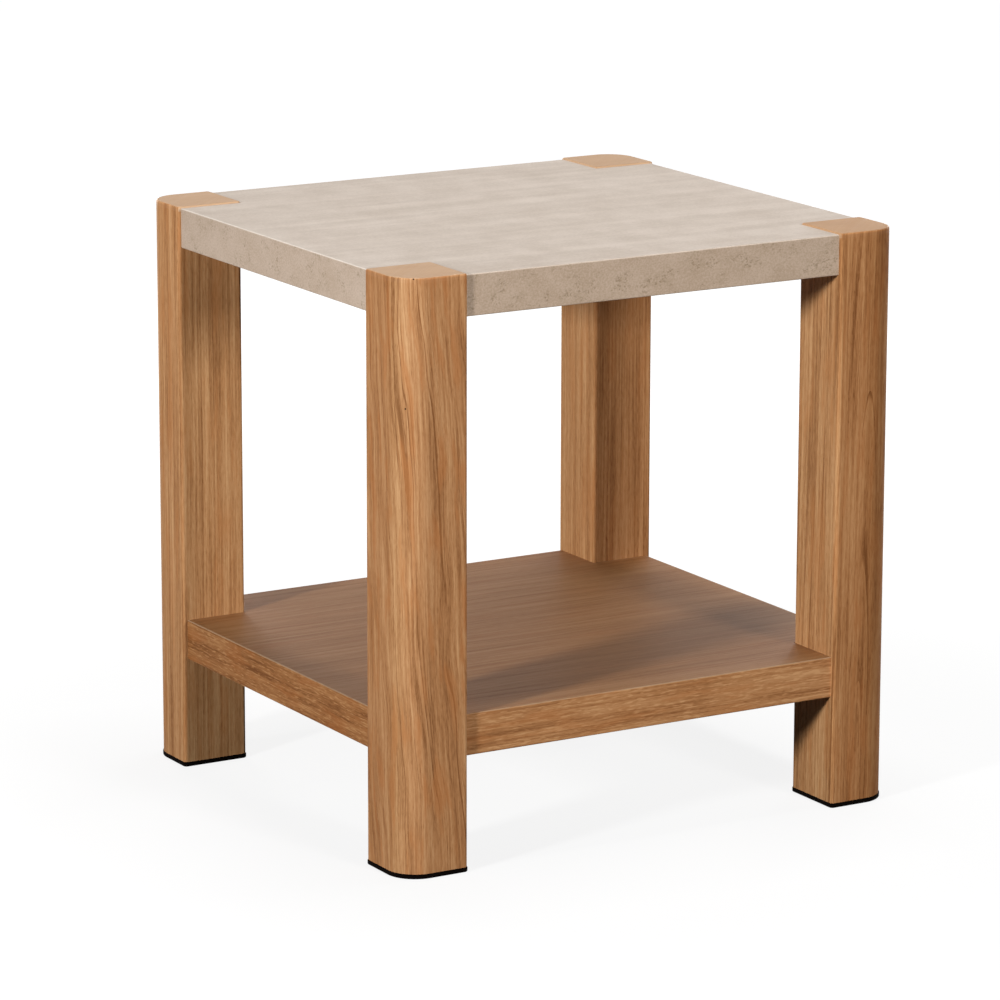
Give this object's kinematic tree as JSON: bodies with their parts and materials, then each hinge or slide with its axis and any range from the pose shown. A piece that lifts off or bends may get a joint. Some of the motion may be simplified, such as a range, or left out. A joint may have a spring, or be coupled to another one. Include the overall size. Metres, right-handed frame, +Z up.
{
  "type": "end table",
  "caption": "End table with chunky oak-veneer legs rounded at their outer corners, a thick stone-look top notched round the legs, and an oak lower shelf.",
  "frame": {"origin": "on the floor under the middle of the table", "axes": "+Z up, +X along the wider side, -Y towards the front"},
  "size_m": [0.5334, 0.5004, 0.5515],
  "materials": {
    "oak_veneer": "satin",
    "stone_laminate": "matte",
    "fibreboard": "matte",
    "block_wood": "matte",
    "paper_honeycomb": "matte",
    "black_pad": "matte",
    "zinc": "satin",
    "steel": "satin",
    "brass": "satin",
    "beech": "matte"
  },
  "bodies": {
    "root": {"leg_front_left_post": "fibreboard", "leg_front_left_veneer": "oak_veneer", "leg_front_left_cap": "oak_veneer", "leg_front_left_foot_block": "block_wood", "foot_pad_front_left": "black_pad", "leg_front_right_post": "fibreboard", "leg_front_right_veneer": "oak_veneer", "leg_front_right_cap": "oak_veneer", "leg_front_right_foot_block": "block_wood", "foot_pad_front_right": "black_pad", "leg_back_left_post": "fibreboard", "leg_back_left_veneer": "oak_veneer", "leg_back_left_cap": "oak_veneer", "leg_back_left_foot_block": "block_wood", "foot_pad_back_left": "black_pad", "leg_back_right_post": "fibreboard", "leg_back_right_veneer": "oak_veneer", "leg_back_right_cap": "oak_veneer", "leg_back_right_foot_block": "block_wood", "foot_pad_back_right": "black_pad", "tabletop_upper_skin": "stone_laminate", "tabletop_lower_skin": "stone_laminate", "tabletop_corner_block_front_left": "block_wood", "tabletop_corner_block_front_right": "block_wood", "tabletop_corner_block_back_left": "block_wood", "tabletop_corner_block_back_right": "block_wood", "tabletop_rail_front": "fibreboard", "tabletop_edge_front": "stone_laminate", "tabletop_rail_back": "fibreboard", "tabletop_edge_back": "stone_laminate", "tabletop_rail_left": "fibreboard", "tabletop_edge_left": "stone_laminate", "tabletop_rail_right": "fibreboard", "tabletop_edge_right": "stone_laminate", "tabletop_honeycomb": "paper_honeycomb", "shelf_upper_skin": "oak_veneer", "shelf_lower_skin": "oak_veneer", "shelf_corner_block_front_left": "block_wood", "shelf_corner_block_front_right": "block_wood", "shelf_corner_block_back_left": "block_wood", "shelf_corner_block_back_right": "block_wood", "shelf_rail_front": "fibreboard", "shelf_edge_front": "oak_veneer", "shelf_rail_back": "fibreboard", "shelf_edge_back": "oak_veneer", "shelf_rail_left": "fibreboard", "shelf_edge_left": "oak_veneer", "shelf_rail_right": "fibreboard", "shelf_edge_right": "oak_veneer", "shelf_honeycomb": "paper_honeycomb", "cam_locks": "zinc", "cam_bolts": "steel", "threaded_sleeves": "brass", "wooden_dowels": "beech", "pad_screws": "steel"}
  },
  "joints": []
}
